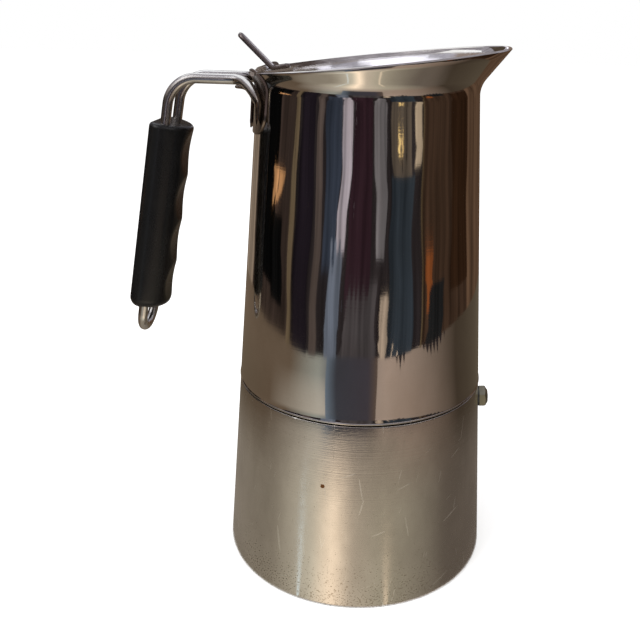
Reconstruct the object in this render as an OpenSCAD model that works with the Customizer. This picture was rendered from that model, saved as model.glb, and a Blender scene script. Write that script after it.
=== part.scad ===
// Stove-top moka pot in stainless steel: boiler, funnel filter and collector jug.
// Millimetres. Z is the pot's axis, the pouring side faces +X and the handle -X.

/* [Boiler] */
// Outer radius of the boiler at the table
boiler_base_r = 55; // [52:0.5:60]
// Outer radius of the boiler at its shoulder
boiler_top_r = 49.5; // [48:0.25:50.5]
// Height of the boiler's shoulder above the table
shoulder_z = 76.8; // [72:0.2:90]
// Sheet thickness of the boiler
boiler_wall = 1; // [0.8:0.1:1.4]
// Radius of the bend between the wall and the shoulder
shoulder_bend_r = 1.6; // [1.2:0.1:3]
// Thickness of the heat-spreading base disc
base_disc_t = 3; // [2:0.5:5]
// Outer radius of the threaded neck
neck_r = 38; // [36:0.25:39]
// Height of the neck above the shoulder
neck_h = 11.2; // [9:0.2:14]
// Wall of the neck
neck_wall = 1; // [0.8:0.1:1.5]

/* [Safety valve] */
// Depth of the valve under the shoulder
valve_drop = 9.1; // [8:0.1:14]
// Width of the valve's hexagon across its flats
valve_hex_af = 8.2; // [7:0.1:9]
// Length of the hexagon outside the boiler
valve_hex_l = 3.5; // [3:0.1:5]
// Radius of the valve's shank
valve_shank_r = 3; // [2.7:0.1:3.2]
// Radius of the spring chamber
valve_bore_r = 2; // [1.8:0.1:2.2]
// Radius of the plunger's stem
plunger_r = 0.9; // [0.7:0.1:1]
// Travel of the plunger when it blows off
plunger_travel = 1.2; // [0.8:0.1:1.6]
// Wire diameter of the valve spring
valve_spring_wire = 0.4; // [0.3:0.05:0.5]
// Working turns of the valve spring
valve_spring_turns = 5; // [3:1:7]

/* [Funnel] */
// Sheet thickness of the funnel
funnel_wall = 0.6; // [0.5:0.1:0.8]
// Depth of the coffee cup under its rim
cup_depth = 27; // [22:0.5:32]
// Outer radius of the funnel's tube
tube_r = 5; // [4.5:0.25:6]
// Gap between the end of the tube and the boiler's floor
tube_gap = 5; // [3:0.5:9]
// Thickness of the two perforated filter plates
filter_t = 0.6; // [0.5:0.1:0.8]
// Radius of the holes in the filter plates
filter_hole_r = 0.8; // [0.5:0.1:1]
// Number of rings of filter holes
filter_rings = 4; // [2:1:4]

/* [Gasket] */
// Thickness of the rubber gasket
gasket_t = 3.5; // [2.5:0.25:4.5]
// Inner radius of the gasket
gasket_in_r = 29; // [28:0.5:31]

/* [Collector] */
// Outer radius of the collector just above the seam
collector_base_r = 49.5; // [48.5:0.1:51]
// How far the bead at the seam stands proud of the collector
bead_proud = 0.35; // [0.2:0.05:0.6]
// Height of the open seam between boiler and collector
seam_gap = 0.7; // [0.4:0.1:1.2]
// Radius of the collector where its flare begins
collector_neck_r = 41.2; // [39:0.2:44]
// Height above the table at which the flare begins
flare_z = 190.3; // [180:0.5:200]
// Radius of the bend into the flare
flare_bend_r = 9; // [6:0.5:14]
// Angle of the flare from the pot's axis
flare_angle = 38; // [30:1:45]
// Height of the rim in the middle of the pot
rim_mid_z = 201.8; // [200:0.2:206]
// Tilt of the rim, rising to the pouring side
rim_tilt = 6.4; // [4:0.1:8]
// Sheet thickness of the collector
collector_wall = 1; // [0.8:0.1:1.2]
// Wall of the threaded skirt under the collector
skirt_wall = 1; // [0.8:0.1:1.4]
// Radial clearance between neck and skirt for the thread
thread_gap = 1; // [0.8:0.1:1.2]
// Height of the coffee column above the collector's floor
column_h = 72; // [50:1:80]
// Outer radius of the column at its foot
column_foot_r = 8.5; // [8:0.25:10]
// Outer radius of the column at its top
column_top_r = 6.2; // [5.5:0.1:7]
// Wall of the column
column_wall = 0.9; // [0.7:0.1:1.2]

/* [Handle] */
// Diameter of the handle's wire
wire_d = 3.8; // [3.4:0.1:4.2]
// Distance between the two legs of the wire
wire_pitch = 16; // [14:0.5:18]
// Height of the wire's level run
wire_z = 194; // [191:0.1:196]
// Reach of the wire's outer bend from the pot's axis
wire_reach = 74; // [70:0.5:80]
// Radius of the wire's outer bend
wire_bend_r = 11.5; // [9:0.5:13]
// Lean of the handle away from the pot
handle_lean = 10.2; // [8:0.2:11]
// Height above the table of the lowest point of the wire
wire_low_z = 90.7; // [86:0.1:95]
// Length of the plastic grip
grip_l = 75; // [68:1:78]
// Gap along the wire between its outer bend and the grip
grip_drop = 7.6; // [6.5:0.1:12]
// Width of the grip in the handle's plane
grip_w = 14.8; // [14:0.1:17]
// Depth of the grip across the handle's plane
grip_d = 24; // [23:0.5:28]
// Distance of the grip's middle from the wire, towards the pot
grip_shift = 1.3; // [0:0.1:2]
// Number of finger grooves
groove_count = 4; // [3:1:4]
// Depth of each finger groove
groove_depth = 1.6; // [1:0.1:2]

/* [Hinge and lid] */
// Distance of the lid's hinge axis from the pot's axis
hinge_reach = 39; // [38:0.1:39.5]
// Depth of the hinge axis under the rim
hinge_drop = 0.4; // [0.2:0.1:0.6]
// Radius of the hinge pin
pin_r = 0.8; // [0.7:0.05:0.9]
// Half the width of the hinge plate
plate_half_w = 24.4; // [23.5:0.1:25]
// Sheet thickness of the hinge plate
plate_t = 0.6; // [0.5:0.1:0.8]
// Height above the table of the hinge plate's lower edge
plate_low_z = 175.7; // [172:0.5:178]
// Thickness of the bracket under the wires
strap_t = 1.2; // [0.8:0.1:1.4]
// Width of the bracket under the wires
strap_w = 15; // [14:0.5:17]
// Thickness of the lid's sheet
lid_t = 0.8; // [0.7:0.1:1.2]
// Depth of the lid's edge under the rim
lid_recess = 1.7; // [1.5:0.1:2.2]
// Rise of the lid's dome in its middle
lid_dome = 1.5; // [0.5:0.25:2]
// Width of the lid's knuckle
knuckle_w = 16; // [12:0.5:16]
// Length of the thumb lever on the lid
lever_l = 16.5; // [12:0.5:18]
// Width of the thumb lever
lever_w = 5.5; // [4:0.5:6]
// Lean of the thumb lever from the pot's axis
lever_lean = 46.5; // [35:0.5:48]

/* [Hidden] */
$fn = 64;

// Clearance between pressed sheets that are welded together
weld_gap = 0.05;
// Clearance between parts that are lifted apart
fit_gap = 0.4;
// Radial clearance of a running fit
run_gap = 0.08;
// Length by which a cut runs past what it cuts
over = 1;

// Points of an arc round [x, y] from angle a0 to a1
function arc(x, y, r, a0, a1, n = 12) = [for (i = [0:n]) let (a = a0 + (a1 - a0) * i / n) [x + r * cos(a), y + r * sin(a)]];

// Straight-line blend
function mix(a, b, t) = a + (b - a) * t;

// Unit vector along v
function unit(v) = v / norm(v);

// Direction of an open path at point i
function heading(path, i) = unit(path[min(i + 1, len(path) - 1)] - path[max(i - 1, 0)]);

// Path moved sideways by d, to its left where d is positive
function beside(path, d) = [for (i = [0:len(path) - 1]) let (h = heading(path, i)) path[i] + d * [-h[1], h[0]]];

// Outline of a sheet whose left face is d0 and right face d1 to the left of a path
function sheet(path, d0, d1) =
    let (left = beside(path, d1), right = beside(path, d0))
    concat(right, [for (i = [len(left) - 1:-1:0]) left[i]]);

// Boiler
foot_lift = 0.3;
boiler_taper = atan((boiler_base_r - boiler_top_r) / shoulder_z);
boiler_side = boiler_wall / cos(boiler_taper);
floor_z = base_disc_t + weld_gap;
bend_z = shoulder_z - shoulder_bend_r;
neck_in_r = neck_r - neck_wall;
neck_foot_w = 3.5;
neck_top_z = shoulder_z + neck_h;
disc_groove_r = 0.6;
neck_chamfer = 0.3;
neck_seat = 0.45;
valve_z = shoulder_z - valve_drop;

// Outer radius of the boiler at height z
function boiler_r(z) = boiler_base_r - z * tan(boiler_taper);

// Valve, along its own axis from the boiler's skin
washer_t = 0.5;
valve_l = washer_t + valve_hex_l;
shank_l = 6;
seat_l = 4.5;
plunger_head_t = 1;
cap_t = 0.8;
hex_corner_r = valve_hex_af / 2 / cos(30);
hex_chamfer = 1.4;
nut_af = 8;
nut_t = 2.5;
nut_gap = 0.3;

// Funnel
cup_r = neck_in_r - fit_gap;
cup_taper = 0.8;
cup_bend_r = 3;
lip_bend_r = 0.7;
cone_angle = 12;
collar_r = tube_r + weld_gap + funnel_wall;
collar_bend_r = 2;
collar_l = 4;
cup_low_z = neck_top_z - cup_depth;
cup_bend_x = cup_r - cup_taper - cup_bend_r;
cone_out_r = cup_bend_x + cup_bend_r * sin(cone_angle);
cone_in_r = collar_r + collar_bend_r * (1 - sin(cone_angle));
cone_out_z = cup_low_z + cup_bend_r * (1 - cos(cone_angle));
collar_z = cone_out_z - (cone_out_r - cone_in_r) * tan(cone_angle) - collar_bend_r * cos(cone_angle);
tube_low_z = floor_z + boiler_wall + tube_gap;
tube_high_z = collar_z + 0.5;
sieve_r = cup_r - cup_taper - 2 * funnel_wall;
sieve_bend = cup_bend_r - funnel_wall;
sieve_z = cup_low_z + cup_bend_r - sqrt(pow(sieve_bend, 2) - pow(sieve_r - cup_bend_x, 2)) + weld_gap;

// Gasket and filter plate
skirt_r = neck_r + thread_gap;
gasket_z = neck_top_z + funnel_wall;
gasket_top_z = gasket_z + gasket_t;
gasket_round_r = 0.6;
filter_flange_w = 5;
filter_r = gasket_in_r - 0.5;
filter_drop = 2.7;
filter_bend_r = 1;

// Collector
seam_z = shoulder_z + seam_gap;
collector_taper = atan((collector_base_r - collector_neck_r) / (flare_z - seam_z));
collector_side = collector_wall / cos(collector_taper);
bead_r = 0.8;
floor_t = 0.8;
jug_floor_z = gasket_top_z + filter_t + weld_gap;
jug_floor_top_z = jug_floor_z + floor_t;
jug_bend_r = 1.6;
weld_flange_h = 4;
column_flange_r = 14;
column_fillet_r = 4;
column_top_z = jug_floor_top_z + column_h;
cap_lap = 8;
cap_rise = 8;
cap_wall = 0.7;
cap_round_r = 3;
window_w = 7;
window_h = 4.5;
rim_reach = 60;
skirt_sheet_t = 0.8;

// Outer radius of the collector's cone at height z
function collector_r(z) = collector_base_r - (z - seam_z) * tan(collector_taper);

// Height of the tilted rim plane at x
function rim_z(x) = rim_mid_z + x * tan(rim_tilt);

// Outer face of the flare, from its bend up to height z
function flare(z) =
    let (c = [collector_neck_r + flare_bend_r * cos(collector_taper), flare_z + flare_bend_r * sin(collector_taper)],
        bend = arc(c[0], c[1], flare_bend_r, 180 + collector_taper, 180 - flare_angle, 14),
        e = bend[len(bend) - 1])
    concat(bend, [e + (z - e[1]) / 2 * [tan(flare_angle), 1], e + (z - e[1]) * [tan(flare_angle), 1]]);

// Outer face of the collector from height z0 up to z1 on the flare
function collector_skin(z0, z1) = concat([[collector_r(z0), z0], [collector_r((z0 + flare_z) / 2), (z0 + flare_z) / 2]], flare(z1));

// Hinge
hinge_x = -hinge_reach;
hinge_z = rim_z(hinge_x) - hinge_drop;
knuckle_r = pin_r + run_gap + lid_t;
skin = weld_gap + plate_t + weld_gap;
plate_round_r = 8;
ear_r = 1.9;
ear_w = 5.2;
ear_skin = flare(hinge_z + ear_r);
flare_end = ear_skin[len(ear_skin) - 1];
plate_hinge_r = flare_end[0] - ear_r * tan(flare_angle) + (weld_gap + plate_t) / cos(flare_angle);
pin_l = 2 * (sqrt(pow(plate_hinge_r, 2) - pow(hinge_x, 2)) + 1.3);

// Handle
wire_r = wire_d / 2;
leg_y = wire_pitch / 2;
bend_x = wire_bend_r - wire_reach;
leg_top_z = wire_z - wire_bend_r * (1 - sin(handle_lean));
leg_l = (leg_top_z - wire_low_z - wire_r - leg_y * cos(handle_lean)) / cos(handle_lean);
tail_angle = 29;
tail_t = 1.3;
tail_w = 4.6;
tail_top_z = 187.5;
tail_low_z = 179.5;
wire_start = [-49, -leg_y, wire_z];
strap_low_z = plate_low_z + 0.9;
strap_bend_r = 5;
strap_lip_angle = 75;
strap_bend_z = wire_z - wire_r - 0.2 - strap_bend_r * sin(strap_lip_angle);
grip_round_r = 4;
grip_corner_r = 4.5;
grip_top_round_r = 1.6;
grip_gap = 0.05;

// Lid
lid_r = 43;
lid_x = 4;
leaf_l = 12;
leaf_t = 0.8;
lever_t = 1.2;
lever_bend_r = 2;
lever_foot_l = 6;

// Height of the lid's top face over the rim plane at distance r from its middle
function lid_crown(r) = lid_dome * (1 - pow(r / lid_r, 2)) - lid_recess;

// Height of the lid's top face in the pot's mid plane at x
function lid_top_z(x) = rim_z(x) + lid_crown(x - lid_x) / cos(rim_tilt);

// Ring of points for a revolved sheet with rounded corners
function soft_ring(r0, r1, z0, z1, q) = concat(
    arc(r1 - q, z0 + q, q, -90, 0, 4), arc(r1 - q, z1 - q, q, 0, 90, 4),
    arc(r0 + q, z1 - q, q, 90, 180, 4), arc(r0 + q, z0 + q, q, 180, 270, 4));

module boiler_shell() {
    color("gainsboro") difference() {
        rotate_extrude($fn = 128) polygon(concat(
            [[boiler_r(foot_lift), foot_lift]],
            arc(boiler_r(bend_z) - shoulder_bend_r / cos(boiler_taper), bend_z, shoulder_bend_r, boiler_taper, 90, 6),
            [[neck_r + weld_gap, shoulder_z], [neck_r + weld_gap, shoulder_z - boiler_wall]],
            arc(boiler_r(bend_z) - shoulder_bend_r / cos(boiler_taper), bend_z, shoulder_bend_r - boiler_wall, 90, boiler_taper, 6),
            [[boiler_r(floor_z + boiler_wall) - boiler_side, floor_z + boiler_wall], [0, floor_z + boiler_wall],
                [0, floor_z], [boiler_r(floor_z) - boiler_side, floor_z], [boiler_r(foot_lift) - boiler_side, foot_lift]]));
        on_valve() translate([0, 0, -shank_l]) cylinder(r = valve_shank_r + weld_gap, h = 2 * shank_l);
    }
}

module base_disc() {
    edge_r = boiler_r(foot_lift) - boiler_side - weld_gap - base_disc_t * tan(boiler_taper);
    color("silver") rotate_extrude($fn = 128) difference() {
        polygon([[0, 0], [edge_r - 0.5, 0], [edge_r, 0.5], [edge_r, base_disc_t], [0, base_disc_t]]);
        for (r = [edge_r * 0.32, edge_r * 0.62, edge_r * 0.9]) translate([r, 0]) circle(r = disc_groove_r, $fn = 24);
    }
}

module boiler_neck() {
    foot_z = shoulder_z - boiler_wall - weld_gap;
    color("lightgray") rotate_extrude($fn = 128) polygon([
        [neck_in_r, foot_z - neck_wall], [neck_r + neck_foot_w, foot_z - neck_wall], [neck_r + neck_foot_w, foot_z],
        [neck_r, foot_z], [neck_r, neck_top_z - neck_chamfer], [neck_r - neck_chamfer, neck_top_z],
        [neck_in_r + neck_seat, neck_top_z], [neck_in_r, neck_top_z - neck_seat]]);
}

// Puts its children on the valve's axis, with Z pointing out of the boiler's skin
module on_valve() {
    translate([boiler_r(valve_z), 0, valve_z]) rotate([0, 90 - boiler_taper, 0]) children();
}

module valve_body() {
    face_r = valve_bore_r + 0.5;
    color("darkkhaki") on_valve() difference() {
        union() {
            intersection() {
                translate([0, 0, washer_t]) cylinder(r = hex_corner_r, h = valve_hex_l, $fn = 6);
                rotate_extrude() polygon([[0, washer_t], [hex_corner_r + over, washer_t],
                    [hex_corner_r + over, valve_l - hex_chamfer - hex_chamfer * over / (hex_corner_r - face_r)],
                    [face_r, valve_l], [0, valve_l]]);
            }
            translate([0, 0, -shank_l]) cylinder(r = valve_shank_r, h = shank_l + washer_t + over);
        }
        translate([0, 0, -seat_l]) cylinder(r = valve_bore_r, h = seat_l + valve_l + over);
        translate([0, 0, -shank_l - over]) cylinder(r = valve_bore_r / 2, h = shank_l + over);
    }
}

module valve_washer() {
    color("dimgray") on_valve() difference() {
        cylinder(r = valve_hex_af / 2, h = washer_t);
        translate([0, 0, -over]) cylinder(r = valve_shank_r + weld_gap, h = washer_t + 2 * over);
    }
}

module valve_nut() {
    color("darkkhaki") on_valve() translate([0, 0, -boiler_wall - nut_gap - nut_t]) difference() {
        cylinder(r = nut_af / 2 / cos(30), h = nut_t, $fn = 6);
        translate([0, 0, -over]) cylinder(r = valve_shank_r + weld_gap, h = nut_t + 2 * over);
    }
}

module valve_cap() {
    color("khaki") on_valve() translate([0, 0, valve_l - cap_t]) difference() {
        cylinder(r = valve_bore_r - weld_gap / 2, h = cap_t);
        translate([0, 0, -over]) cylinder(r = plunger_r + run_gap, h = cap_t + 2 * over);
    }
}

module valve_spring() {
    coil_r = (plunger_r + valve_bore_r) / 2;
    low = plunger_head_t - seat_l + valve_spring_wire / 2;
    high = valve_l - cap_t - valve_spring_wire / 2;
    steps = 14;
    sides = 6;
    n = valve_spring_turns * steps;
    color("silver") on_valve() polyhedron(
        points = [for (i = [0:n]) for (j = [0:sides - 1])
            let (a = 360 * i / steps, b = 360 * j / sides, w = valve_spring_wire / 2)
            [(coil_r + w * cos(b)) * cos(a), (coil_r + w * cos(b)) * sin(a), mix(low, high, i / n) - w * sin(b)]],
        faces = tube_faces(n, sides));
}

// Faces of a tube of n stretches between rings of the given number of points
function tube_faces(n, sides) = concat(
    [[for (j = [0:sides - 1]) j]],
    [for (i = [0:n - 1]) for (j = [0:sides - 1])
        let (k = (j + 1) % sides) [i * sides + j, (i + 1) * sides + j, (i + 1) * sides + k, i * sides + k]],
    [[for (j = [sides - 1:-1:0]) n * sides + j]]);

module valve_plunger() {
    color("gold") on_valve() {
        translate([0, 0, -seat_l]) cylinder(r = valve_bore_r - run_gap, h = plunger_head_t);
        translate([0, 0, -seat_l]) cylinder(r = plunger_r, h = seat_l + valve_l + 0.2);
    }
}

module funnel_cup() {
    face = concat(
        [[neck_r - weld_gap, neck_top_z]],
        arc(cup_r + lip_bend_r, neck_top_z - lip_bend_r, lip_bend_r, 90, 180, 6),
        arc(cup_bend_x, cup_low_z + cup_bend_r, cup_bend_r, 0, cone_angle - 90, 8),
        arc(collar_r + collar_bend_r, collar_z, collar_bend_r, 90 + cone_angle, 180, 6),
        [[collar_r, collar_z - collar_l]]);
    color("silver") rotate_extrude($fn = 96) polygon(sheet(face, -funnel_wall, 0));
}

module funnel_tube() {
    color("lightgray") translate([0, 0, tube_low_z]) difference() {
        cylinder(r = tube_r, h = tube_high_z - tube_low_z);
        translate([0, 0, -over]) cylinder(r = tube_r - funnel_wall, h = tube_high_z - tube_low_z + 2 * over);
    }
}

// Holes of a filter plate in rings that reach out to radius r
module filter_holes(r) {
    for (ring = [1:filter_rings], i = [0:6 * ring - 1])
        rotate([0, 0, 60 * i / ring]) translate([r * ring / filter_rings, 0, -over])
            cylinder(r = filter_hole_r, h = filter_t + 2 * over, $fn = 16);
    translate([0, 0, -over]) cylinder(r = filter_hole_r, h = filter_t + 2 * over, $fn = 16);
}

module funnel_sieve() {
    color("whitesmoke") translate([0, 0, sieve_z]) difference() {
        cylinder(r = sieve_r, h = filter_t, $fn = 96);
        filter_holes(sieve_r - 4);
    }
}

module gasket() {
    color("ivory") rotate_extrude($fn = 96)
        polygon(soft_ring(gasket_in_r, skirt_r - fit_gap, gasket_z, gasket_top_z, gasket_round_r));
}

module filter_plate() {
    low = gasket_top_z - filter_drop;
    face = concat(
        [[gasket_in_r + filter_flange_w, gasket_top_z]],
        arc(filter_r + lip_bend_r, gasket_top_z - lip_bend_r, lip_bend_r, 90, 180, 6),
        arc(filter_r - filter_bend_r, low + filter_bend_r, filter_bend_r, 0, -90, 6),
        [[0, low]]);
    color("whitesmoke") difference() {
        rotate_extrude($fn = 96) polygon(sheet(face, -filter_t, 0));
        translate([0, 0, low]) filter_holes(filter_r - 3.5);
    }
}

// Removes what stands above the tilted rim, lowered by d
module above_rim(d = 0) {
    translate([0, 0, rim_mid_z]) rotate([0, -rim_tilt, 0]) translate([-2 * rim_reach, -2 * rim_reach, -d])
        cube([4 * rim_reach, 4 * rim_reach, rim_reach]);
}

// Rod along the hinge axis
module hinge_rod(r, l) {
    translate([hinge_x, l / 2, hinge_z]) rotate([90, 0, 0]) cylinder(r = r, h = l);
}

module collector_shell() {
    top = rim_z(rim_reach) + over;
    color("gainsboro") difference() {
        rotate_extrude($fn = 128) polygon(concat(
            [[collector_r(seam_z) - collector_side, seam_z]],
            arc(collector_base_r + bead_proud - bead_r, seam_z + bead_r, bead_r, -90, 55, 8),
            sheet(collector_skin(seam_z + 3 * bead_r, top), 0, collector_wall)));
        above_rim();
        hinge_rod(pin_r + weld_gap, 2 * rim_reach);
    }
}

module collector_floor() {
    wall_r = collector_r(jug_floor_z + weld_flange_h) - collector_side - weld_gap;
    bend_r = collector_r(jug_floor_z + jug_bend_r) - collector_side - weld_gap - jug_bend_r;
    face = concat([[wall_r, jug_floor_z + weld_flange_h]],
        arc(bend_r, jug_floor_z + jug_bend_r, jug_bend_r, 0, -90, 8),
        [[column_foot_r - column_wall, jug_floor_z]]);
    color("lightgray") rotate_extrude($fn = 128) polygon(sheet(face, -floor_t, 0));
}

module thread_ring() {
    out_r = collector_r(seam_z + weld_flange_h) - collector_side - weld_gap;
    face = concat(
        [[skirt_r, jug_floor_z - weld_gap]],
        arc(skirt_r + jug_bend_r, seam_z + jug_bend_r, jug_bend_r, 180, 270, 6),
        arc(out_r - jug_bend_r, seam_z + jug_bend_r, jug_bend_r, 270, 360, 6),
        [[out_r, seam_z + weld_flange_h]]);
    color("silver") rotate_extrude($fn = 128) polygon(sheet(face, 0, skirt_wall));
}

module column() {
    foot_in_r = column_foot_r - column_wall;
    color("silver") rotate_extrude() polygon(concat(
        [[foot_in_r, jug_floor_top_z], [column_flange_r, jug_floor_top_z], [column_flange_r, jug_floor_top_z + floor_t]],
        arc(column_foot_r + column_fillet_r, jug_floor_top_z + floor_t + column_fillet_r, column_fillet_r, 270, 180, 8),
        [[column_top_r, column_top_z], [column_top_r - column_wall, column_top_z],
            [foot_in_r, jug_floor_top_z + floor_t + column_fillet_r]]));
}

module column_cap() {
    in_r = mix(column_top_r, column_foot_r, cap_lap / column_h) + weld_gap;
    out_r = in_r + cap_wall;
    low = column_top_z - cap_lap;
    high = column_top_z + cap_rise;
    color("gainsboro") difference() {
        rotate_extrude() polygon(concat(
            [[in_r, low], [out_r, low]],
            arc(out_r - cap_round_r, high - cap_round_r, cap_round_r, 0, 90, 6),
            [[0, high], [0, high - cap_wall]],
            arc(out_r - cap_round_r, high - cap_round_r, cap_round_r - cap_wall, 90, 0, 6)));
        translate([-window_w / 2, -2 * out_r, column_top_z + weld_gap]) cube([window_w, 4 * out_r, window_h]);
    }
}

// Sheet that hugs the collector's skin, from d0 to d1 off it and up to height z1
module skin_band(z0, z1, d0, d1) {
    rotate_extrude($fn = 128) polygon(sheet(collector_skin(z0, z1), -d1, -d0));
}

module hinge_plate() {
    color("lightgray") difference() {
        intersection() {
            skin_band(plate_low_z, hinge_z + ear_r, weld_gap, weld_gap + plate_t);
            rotate([90, 0, -90]) linear_extrude(rim_reach) union() {
                translate([-plate_half_w, plate_low_z + plate_round_r]) square([2 * plate_half_w, rim_reach]);
                translate([plate_round_r - plate_half_w, plate_low_z - over])
                    square([2 * (plate_half_w - plate_round_r), rim_reach]);
                for (s = [-1, 1]) translate([s * (plate_half_w - plate_round_r), plate_low_z + plate_round_r])
                    circle(r = plate_round_r);
            }
        }
        difference() {
            above_rim(hinge_drop);
            for (s = [-1, 1]) translate([0, s * (plate_half_w - ear_w / 2), 0]) hinge_rod(ear_r, ear_w);
        }
        hinge_rod(pin_r + weld_gap, 2 * rim_reach);
    }
}

module handle_strap() {
    face = concat(
        [[collector_r(strap_low_z), strap_low_z] + skin * [1, 0]],
        arc(collector_r(strap_bend_z) + skin + strap_bend_r * cos(collector_taper),
            strap_bend_z + strap_bend_r * sin(collector_taper), strap_bend_r,
            180 + collector_taper, 180 - strap_lip_angle, 10));
    color("silver") intersection() {
        rotate_extrude($fn = 128) polygon(sheet(face, -strap_t, 0));
        translate([-2 * rim_reach, -strap_w / 2, 0]) cube([2 * rim_reach, strap_w, 2 * wire_z]);
    }
}

// Wire end that leaves the level run, bends down and lies flattened on the hinge plate
module wire_tail() {
    sides = 16;
    bends = 18;
    lies = 6;
    tail_dir = [-cos(tail_angle), -sin(tail_angle), 0];
    top = tail_dir * (collector_r(tail_top_z) + skin + wire_r) + [0, 0, tail_top_z];
    low = tail_dir * (collector_r(tail_low_z) + skin + tail_t / 2) + [0, 0, tail_low_z];
    c1 = wire_start + [5.5, -0.5, 0.2];
    c2 = top + [-2.5, 3.5, 4];
    spine = concat(
        [wire_start - [1, 0, 0]],
        [for (i = [1:bends]) let (t = i / bends)
            pow(1 - t, 3) * wire_start + 3 * t * pow(1 - t, 2) * c1 + 3 * t * t * (1 - t) * c2 + pow(t, 3) * top],
        [for (i = [1:lies]) mix(top, low, i / lies)]);
    n = len(spine) - 1;
    rings = [for (i = [0:n]) for (j = [0:sides - 1])
        let (t = heading(spine, i), s = min(1, i / bends), out = (1 - s) * [0, 0, -1] + s * tail_dir,
            u = unit(out - (out * t) * t), v = cross(t, u), f = min(1, max(0, (i - bends) / (lies - 2))),
            a = mix(wire_r - weld_gap, tail_t / 2, f), b = mix(wire_r - weld_gap, tail_w / 2, f) * (i == n ? 0.7 : 1),
            q = 360 * j / sides)
        spine[i] + a * cos(q) * u + b * sin(q) * v];
    polyhedron(points = rings, faces = tube_faces(n, sides));
}

// Puts its children where the bend's axis meets the leaning plane of the legs, with Z along the legs
module on_lean() {
    translate([bend_x, 0, wire_z - wire_bend_r]) rotate([0, handle_lean, 0]) children();
}

module handle_wire() {
    box = 2 * wire_bend_r;
    color("silver") {
        for (s = [0, 1]) mirror([0, s, 0]) {
            wire_tail();
            translate(wire_start) rotate([0, -90, 0]) cylinder(r = wire_r, h = wire_start[0] - bend_x);
            intersection() {
                translate([bend_x, -leg_y, wire_z - wire_bend_r]) rotate([90, 0, 0]) rotate([0, 0, 90])
                    rotate_extrude(angle = 90) translate([wire_bend_r, 0]) circle(r = wire_r);
                on_lean() translate([-box, -box, 0]) cube([2 * box, 2 * box, box]);
            }
        }
        on_lean() translate([-wire_bend_r, 0, -leg_l]) {
            for (s = [-1, 1]) translate([0, s * leg_y, 0]) rotate([0, 0, 180]) cylinder(r = wire_r, h = leg_l);
            rotate([90, 0, 90]) rotate([0, 0, 180]) rotate_extrude(angle = 180)
                translate([leg_y, 0]) circle(r = wire_r);
        }
    }
}

// Outline of the grip across its length, drawn in by q all round
function grip_outline(q) =
    let (nose_r = grip_d / 2, nose_x = grip_shift + (grip_w - grip_d) / 2,
        corner_x = grip_shift + grip_corner_r - grip_w / 2,
        reach = nose_r - grip_corner_r, lift = sqrt(pow(reach, 2) - pow(corner_x - nose_x, 2)),
        turn = atan2(lift, corner_x - nose_x))
    concat(arc(nose_x, 0, nose_r - q, -turn, turn, 36),
        arc(corner_x, lift, grip_corner_r - q, turn + (180 - turn) / 7, 180, 6),
        arc(corner_x, -lift, grip_corner_r - q, 180, 360 - turn - (180 - turn) / 7, 6));

module handle_grip() {
    rounds = 4;
    cuts = 8;
    pitch = (grip_l - grip_top_round_r - grip_round_r / 4) / groove_count;
    groove_r = (pow(pitch / 2, 2) + pow(groove_depth, 2)) / (2 * groove_depth);
    low = grip_round_r - grip_l;
    levels = concat(
        [for (i = [rounds:-1:0]) let (a = 90 * i / rounds) [low - grip_round_r * sin(a), grip_round_r * (1 - cos(a))]],
        [for (i = [groove_count * cuts:-1:1]) let (z = -grip_top_round_r - pitch * i / cuts) if (z > low + 0.5) [z, 0]],
        [for (i = [0:rounds - 1]) let (a = 90 * i / (rounds - 1))
            [grip_top_round_r * (sin(a) - 1), grip_top_round_r * (1 - cos(a))]]);
    points = [for (l = levels)
        let (place = max(0, -l[0] - grip_top_round_r) / pitch, off = pitch * (place - floor(place) - 0.5),
            limit = grip_shift + grip_w / 2 - groove_depth + groove_r - sqrt(pow(groove_r, 2) - pow(off, 2)))
        for (p = grip_outline(l[1])) [min(p[0], limit), p[1], l[0]]];
    color([0.07, 0.07, 0.07]) on_lean() translate([-wire_bend_r, 0, -grip_drop]) difference() {
        polyhedron(points = points, faces = tube_faces(len(levels) - 1, len(grip_outline(0))));
        for (s = [-1, 1]) translate([0, s * leg_y, -grip_l - over])
            cylinder(r = wire_r + grip_gap, h = grip_l + 2 * over);
    }
}

module hinge_pin() {
    color("whitesmoke") hinge_rod(pin_r, pin_l);
}

// Space inside the collector that the lid may fill
module mouth() {
    rotate_extrude($fn = 128) polygon(concat([[0, collector_skin(flare_z - over, rim_z(rim_reach))[0][1]]],
        beside(collector_skin(flare_z - over, rim_z(rim_reach)), collector_wall + fit_gap), [[0, rim_z(rim_reach)]]));
}

module lid() {
    reach = lid_r + 12;
    steps = 12;
    face = [for (i = [0:steps]) let (r = reach * i / steps) [r, lid_crown(r)]];
    color("gainsboro") difference() {
        intersection() {
            translate([0, 0, rim_mid_z]) rotate([0, -rim_tilt, 0]) translate([lid_x, 0, 0])
                rotate_extrude($fn = 128)
                    polygon(concat(face, [for (i = [steps:-1:0]) face[i] - [0, lid_t]]));
            mouth();
        }
        translate([-2 * rim_reach, -knuckle_w / 2 - fit_gap, flare_z - over])
            cube([2 * rim_reach + hinge_x + knuckle_r + fit_gap, knuckle_w + 2 * fit_gap, rim_reach]);
    }
}

module lid_leaf() {
    start = hinge_x + knuckle_r / 2;
    top = [for (i = [0:4]) let (x = mix(start, hinge_x + leaf_l, i / 4)) [x, lid_top_z(x) + weld_gap]];
    color("lightgray") difference() {
        union() {
            hinge_rod(knuckle_r, knuckle_w);
            translate([0, knuckle_w / 2, 0]) rotate([90, 0, 0]) linear_extrude(knuckle_w) polygon(sheet(top, 0, leaf_t));
        }
        hinge_rod(pin_r + run_gap, 2 * knuckle_w);
    }
}

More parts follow.
